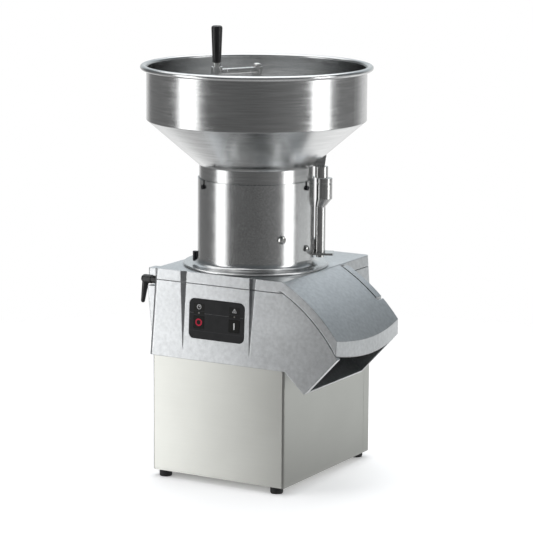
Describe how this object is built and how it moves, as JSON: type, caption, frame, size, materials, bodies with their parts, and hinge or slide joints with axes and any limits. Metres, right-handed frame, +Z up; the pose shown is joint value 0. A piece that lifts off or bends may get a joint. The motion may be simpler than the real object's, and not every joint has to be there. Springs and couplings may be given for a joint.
{
  "type": "vegetable cutting machine",
  "caption": "Countertop vegetable cutter: steel cabinet, cast body and hinged lid with side chute, big lift-off funnel hopper with crank agitator, lock lever and keypad",
  "frame": {"origin": "centre of the bottom of the bounding box, on the surface that the feet stand on", "axes": "+X to the right, the side of the chute; +Y to the back, the side of the lid's hinge; +Z up"},
  "size_m": [0.4527, 0.4221, 0.81],
  "materials": {
    "cabinet_steel": "grained stainless sheet, light",
    "cast_alloy": "satin shot-blasted and brushed cast aluminium",
    "hopper_steel": "polished stainless, turned grain",
    "tube_steel": "stainless with a fine random grain",
    "machined_steel": "turned stainless",
    "fastener_steel": "bright plated",
    "black_steel": "blackened steel",
    "blade_steel": "ground and honed",
    "disc_alloy": "bright machined",
    "black_plastic": "fine grain black",
    "panel_film": "satin charcoal film",
    "red_key": "black key with a red ring symbol",
    "black_key": "black key with a white bar symbol",
    "led_lens": "clear lens",
    "foot_rubber": "black rubber",
    "gasket_rubber": "dark grey food rubber",
    "belt_rubber": "black ribbed belt",
    "pulley_iron": "machined cast iron",
    "motor_paint": "dark grey enamel",
    "copper_iron": "laminated core and steel shaft",
    "board_green": "green circuit board",
    "bush_white": "white acetal",
    "light_plastic": "light grey case"
  },
  "bodies": {
    "base": {"base_plate": "cabinet_steel", "cabinet_shell": "cabinet_steel", "rear_cover": "cabinet_steel", "feet": "foot_rubber", "foot_screws": "fastener_steel", "rear_cover_screws": "fastener_steel", "chamber_casting": "cast_alloy", "control_panel": "panel_film", "control_board": "board_green", "led_lenses": "led_lens", "motor_bridge": "machined_steel", "motor_housing": "motor_paint", "capacitor": "light_plastic", "power_module": "black_plastic", "cable_gland": "black_plastic", "earth_stud": "fastener_steel", "bearing_upper": "machined_steel", "bearing_lower": "machined_steel", "shaft_seal": "gasket_rubber", "drive_belt": "belt_rubber", "hinge_pins": "fastener_steel"},
    "lid": {"lid_casting": "cast_alloy", "lid_gasket": "gasket_rubber", "hopper_tube": "tube_steel", "tube_screws": "fastener_steel", "side_stud": "black_steel", "post_bracket": "machined_steel", "bracket_screw": "fastener_steel", "sensor_post": "machined_steel", "sensor_housing": "machined_steel"},
    "funnel": {"funnel_neck": "hopper_steel", "funnel_cone": "hopper_steel", "funnel_wall": "hopper_steel", "funnel_rim": "hopper_steel", "locating_pins": "black_steel", "holder_gusset": "hopper_steel", "magnet_holder": "machined_steel", "agitator_spider": "machined_steel", "agitator_bush": "bush_white"},
    "agitator": {"agitator_shaft": "machined_steel", "agitator_wings": "machined_steel", "wiper_bar": "bush_white", "crank_arm": "machined_steel", "cap_nut": "fastener_steel", "grip_pin": "fastener_steel"},
    "grip": {"crank_grip": "black_plastic"},
    "spindle": {"drive_shaft": "machined_steel", "driven_pulley": "pulley_iron", "ejector_disc": "bush_white", "disc_hub": "disc_alloy", "slicing_disc": "disc_alloy", "slicing_blades": "blade_steel", "disc_knob": "black_plastic"},
    "rotor": {"motor_rotor": "copper_iron", "motor_fan": "black_plastic", "drive_pulley": "pulley_iron"},
    "lever": {"lever_handle": "black_plastic", "lever_stud": "fastener_steel"},
    "stop_button": {"stop_key": "red_key"},
    "start_button": {"start_key": "black_key"}
  },
  "joints": [
    {"name": "lid_hinge", "type": "hinge", "parent": "base", "child": "lid", "pos_m": [-0.0206, 0.19075, 0.358], "axis": [-1, 0, 0], "range_deg": [0, 75]},
    {"name": "funnel_lift", "type": "slide", "parent": "lid", "child": "funnel", "axis": [0, 0, 1], "range_m": [0, 0.16]},
    {"name": "crank_turn", "type": "hinge", "parent": "funnel", "child": "agitator", "pos_m": [-0.0206, -0.00525, 0.52], "axis": [0, 0, 1], "continuous": true},
    {"name": "grip_spin", "type": "hinge", "parent": "agitator", "child": "grip", "pos_m": [-0.04057, -0.10894, 0.77], "axis": [0, 0, 1], "continuous": true},
    {"name": "motor_spin", "type": "hinge", "parent": "base", "child": "rotor", "pos_m": [-0.0206, 0.11275, 0.12], "axis": [0, 0, 1], "continuous": true},
    {"name": "disc_spin", "type": "hinge", "parent": "base", "child": "spindle", "pos_m": [-0.0206, -0.00525, 0.3], "axis": [0, 0, 1], "continuous": true},
    {"name": "lever_turn", "type": "hinge", "parent": "base", "child": "lever", "pos_m": [-0.1706, -0.12125, 0.3542], "axis": [1, 0, 0], "range_deg": [0, 90]},
    {"name": "stop_press", "type": "slide", "parent": "base", "child": "stop_button", "axis": [0, 0.9988, -0.0499], "range_m": [0, 0.0008], "stiffness_N_per_m": 600},
    {"name": "start_press", "type": "slide", "parent": "base", "child": "start_button", "axis": [0, 0.9988, -0.0499], "range_m": [0, 0.0008], "stiffness_N_per_m": 600}
  ],
  "couplings": [
    {"joint": "disc_spin", "follows": "motor_spin", "ratio": 0.24194}
  ]
}
